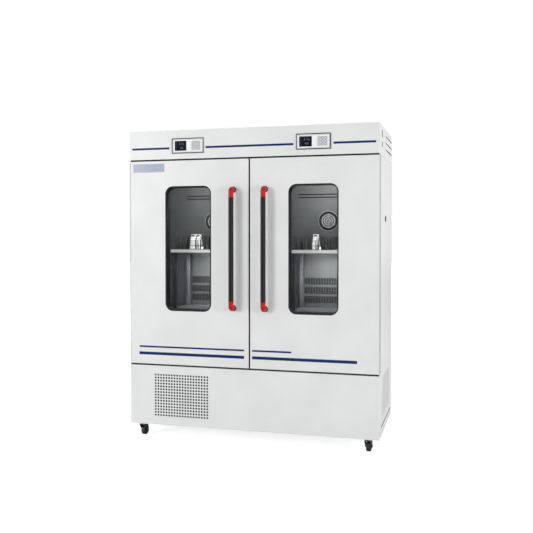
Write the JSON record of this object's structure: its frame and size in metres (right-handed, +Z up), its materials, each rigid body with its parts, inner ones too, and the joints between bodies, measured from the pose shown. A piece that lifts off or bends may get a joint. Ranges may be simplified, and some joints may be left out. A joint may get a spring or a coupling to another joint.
{
  "type": "shaking incubator",
  "caption": "Floor-standing shaking incubator with two glazed doors, tube handles, orbital flask racks, a perforated base grille, control panels and swivel casters.",
  "frame": {"origin": "on the floor, in the middle of the whole outline", "axes": "+X to the right seen from the front, +Y to the back, +Z up"},
  "size_m": [1.608, 0.765, 1.96],
  "materials": {
    "cabinet_enamel": "satin",
    "insulation_foam": "matte",
    "liner_steel": "satin",
    "port_plastic": "matte",
    "frame_steel": "satin",
    "coil_aluminium": "satin",
    "compressor_enamel": "gloss",
    "fan_plastic": "matte",
    "fan_aluminium": "satin",
    "inlet_plastic": "matte",
    "caster_steel": "satin",
    "caster_tyre": "satin",
    "board_laminate": "satin",
    "bezel_plastic": "satin",
    "display_glass": "gloss",
    "keypad_film": "matte",
    "switch_plastic": "satin",
    "seal_rubber": "matte",
    "window_glass": "gloss",
    "grip_foam": "matte",
    "handle_red": "gloss",
    "hinge_steel": "satin",
    "guard_wire": "satin",
    "motor_enamel": "satin",
    "drive_enamel": "satin",
    "crank_steel": "satin",
    "rack_aluminium": "satin",
    "clamp_steel": "satin",
    "flask_white": "satin"
  },
  "bodies": {
    "root": {"outer_panels": "cabinet_enamel", "insulation": "insulation_foam", "chamber_liners": "liner_steel", "access_ports": "port_plastic", "base_front_panel": "cabinet_enamel", "service_panels": "cabinet_enamel", "base_frame": "frame_steel", "condenser": "coil_aluminium", "compressor": "compressor_enamel", "power_inlet": "inlet_plastic", "caster_plates": "caster_steel", "header_shell": "cabinet_enamel", "header_plate": "frame_steel", "header_electronics": "board_laminate", "control_bezels": "bezel_plastic", "control_displays": "display_glass", "control_keypads": "keypad_film", "switch_bezels": "switch_plastic", "hinge_pins": "hinge_steel", "duct_covers": "liner_steel", "fan_guards": "guard_wire", "fan_motors": "motor_enamel", "evaporators": "coil_aluminium", "drive_frames": "drive_enamel", "drive_motors": "motor_enamel"},
    "door_left": {"door_left": "cabinet_enamel", "door_seals_left": "seal_rubber", "door_glass_left": "window_glass", "handle_grip_left": "grip_foam", "handle_ends_left": "handle_red"},
    "crank_left": {"crank_left": "crank_steel"},
    "rack_left": {"rack_left": "rack_aluminium", "clamps_left": "clamp_steel", "flasks_left": "flask_white"},
    "idler_left_front": {"idler_left_front": "crank_steel"},
    "idler_left_rear": {"idler_left_rear": "crank_steel"},
    "fan_left": {"fan_left": "fan_aluminium"},
    "door_right": {"door_right": "cabinet_enamel", "door_seals_right": "seal_rubber", "door_glass_right": "window_glass", "handle_grip_right": "grip_foam", "handle_ends_right": "handle_red"},
    "crank_right": {"crank_right": "crank_steel"},
    "rack_right": {"rack_right": "rack_aluminium", "clamps_right": "clamp_steel", "flasks_right": "flask_white"},
    "idler_right_front": {"idler_right_front": "crank_steel"},
    "idler_right_rear": {"idler_right_rear": "crank_steel"},
    "fan_right": {"fan_right": "fan_aluminium"},
    "condenser_fan": {"condenser_fan": "fan_plastic"},
    "caster_fork_front_left": {"caster_fork_front_left": "caster_steel"},
    "caster_wheel_front_left": {"caster_wheel_front_left": "caster_tyre"},
    "caster_fork_front_right": {"caster_fork_front_right": "caster_steel"},
    "caster_wheel_front_right": {"caster_wheel_front_right": "caster_tyre"},
    "caster_fork_rear_left": {"caster_fork_rear_left": "caster_steel"},
    "caster_wheel_rear_left": {"caster_wheel_rear_left": "caster_tyre"},
    "caster_fork_rear_right": {"caster_fork_rear_right": "caster_steel"},
    "caster_wheel_rear_right": {"caster_wheel_rear_right": "caster_tyre"},
    "switch_rocker_upper": {"switch_rocker_upper": "switch_plastic"},
    "switch_rocker_lower": {"switch_rocker_lower": "switch_plastic"}
  },
  "joints": [
    {"name": "door_left_swing", "type": "hinge", "parent": "root", "child": "door_left", "pos_m": [-0.78, -0.2925, 0.47], "axis": [0, 0, -1], "range_deg": [0, 110]},
    {"name": "crank_left_turn", "type": "hinge", "parent": "root", "child": "crank_left", "pos_m": [-0.402, 0.0105, 0.76], "axis": [0, 0, 1], "continuous": true},
    {"name": "rack_left_orbit", "type": "hinge", "parent": "crank_left", "child": "rack_left", "pos_m": [-0.402, -0.0025, 0.776], "axis": [0, 0, 1], "continuous": true},
    {"name": "idler_left_front_turn", "type": "hinge", "parent": "root", "child": "idler_left_front", "pos_m": [-0.522, -0.0745, 0.76], "axis": [0, 0, 1], "continuous": true},
    {"name": "idler_left_rear_turn", "type": "hinge", "parent": "root", "child": "idler_left_rear", "pos_m": [-0.282, 0.0955, 0.76], "axis": [0, 0, 1], "continuous": true},
    {"name": "fan_left_spin", "type": "hinge", "parent": "root", "child": "fan_left", "pos_m": [-0.402, 0.2, 1.394], "axis": [0, 1, 0], "continuous": true},
    {"name": "door_right_swing", "type": "hinge", "parent": "root", "child": "door_right", "pos_m": [0.78, -0.2925, 0.47], "axis": [0, 0, 1], "range_deg": [0, 110]},
    {"name": "crank_right_turn", "type": "hinge", "parent": "root", "child": "crank_right", "pos_m": [0.402, 0.0105, 0.76], "axis": [0, 0, 1], "continuous": true},
    {"name": "rack_right_orbit", "type": "hinge", "parent": "crank_right", "child": "rack_right", "pos_m": [0.402, -0.0025, 0.776], "axis": [0, 0, 1], "continuous": true},
    {"name": "idler_right_front_turn", "type": "hinge", "parent": "root", "child": "idler_right_front", "pos_m": [0.282, -0.0745, 0.76], "axis": [0, 0, 1], "continuous": true},
    {"name": "idler_right_rear_turn", "type": "hinge", "parent": "root", "child": "idler_right_rear", "pos_m": [0.522, 0.0955, 0.76], "axis": [0, 0, 1], "continuous": true},
    {"name": "fan_right_spin", "type": "hinge", "parent": "root", "child": "fan_right", "pos_m": [0.402, 0.2, 1.394], "axis": [0, 1, 0], "continuous": true},
    {"name": "condenser_fan_spin", "type": "hinge", "parent": "root", "child": "condenser_fan", "pos_m": [-0.45, -0.2175, 0.27], "axis": [0, 1, 0], "continuous": true},
    {"name": "caster_front_left_swivel", "type": "hinge", "parent": "root", "child": "caster_fork_front_left", "pos_m": [-0.73, -0.2755, 0.072], "axis": [0, 0, 1], "continuous": true},
    {"name": "caster_front_left_roll", "type": "hinge", "parent": "caster_fork_front_left", "child": "caster_wheel_front_left", "pos_m": [-0.72847, -0.25355, 0.0315], "axis": [0.9976, -0.0698, 0], "continuous": true},
    {"name": "caster_front_right_swivel", "type": "hinge", "parent": "root", "child": "caster_fork_front_right", "pos_m": [0.73, -0.2755, 0.072], "axis": [0, 0, 1], "continuous": true},
    {"name": "caster_front_right_roll", "type": "hinge", "parent": "caster_fork_front_right", "child": "caster_wheel_front_right", "pos_m": [0.73153, -0.25355, 0.0315], "axis": [0.9976, -0.0698, 0], "continuous": true},
    {"name": "caster_rear_left_swivel", "type": "hinge", "parent": "root", "child": "caster_fork_rear_left", "pos_m": [-0.73, 0.3245, 0.072], "axis": [0, 0, 1], "continuous": true},
    {"name": "caster_rear_left_roll", "type": "hinge", "parent": "caster_fork_rear_left", "child": "caster_wheel_rear_left", "pos_m": [-0.72847, 0.34645, 0.0315], "axis": [0.9976, -0.0698, 0], "continuous": true},
    {"name": "caster_rear_right_swivel", "type": "hinge", "parent": "root", "child": "caster_fork_rear_right", "pos_m": [0.73, 0.3245, 0.072], "axis": [0, 0, 1], "continuous": true},
    {"name": "caster_rear_right_roll", "type": "hinge", "parent": "caster_fork_rear_right", "child": "caster_wheel_rear_right", "pos_m": [0.73153, 0.34645, 0.0315], "axis": [0.9976, -0.0698, 0], "continuous": true},
    {"name": "switch_upper_rock", "type": "hinge", "parent": "root", "child": "switch_rocker_upper", "pos_m": [0.797, -0.2075, 1.906], "axis": [0, 1, 0], "range_deg": [0, 12]},
    {"name": "switch_lower_rock", "type": "hinge", "parent": "root", "child": "switch_rocker_lower", "pos_m": [0.797, -0.2075, 1.8425], "axis": [0, 1, 0], "range_deg": [0, 12]}
  ],
  "couplings": [
    {"joint": "rack_left_orbit", "follows": "crank_left_turn", "ratio": -1},
    {"joint": "idler_left_front_turn", "follows": "crank_left_turn", "ratio": 1},
    {"joint": "idler_left_rear_turn", "follows": "crank_left_turn", "ratio": 1},
    {"joint": "rack_right_orbit", "follows": "crank_right_turn", "ratio": -1},
    {"joint": "idler_right_front_turn", "follows": "crank_right_turn", "ratio": 1},
    {"joint": "idler_right_rear_turn", "follows": "crank_right_turn", "ratio": 1}
  ]
}
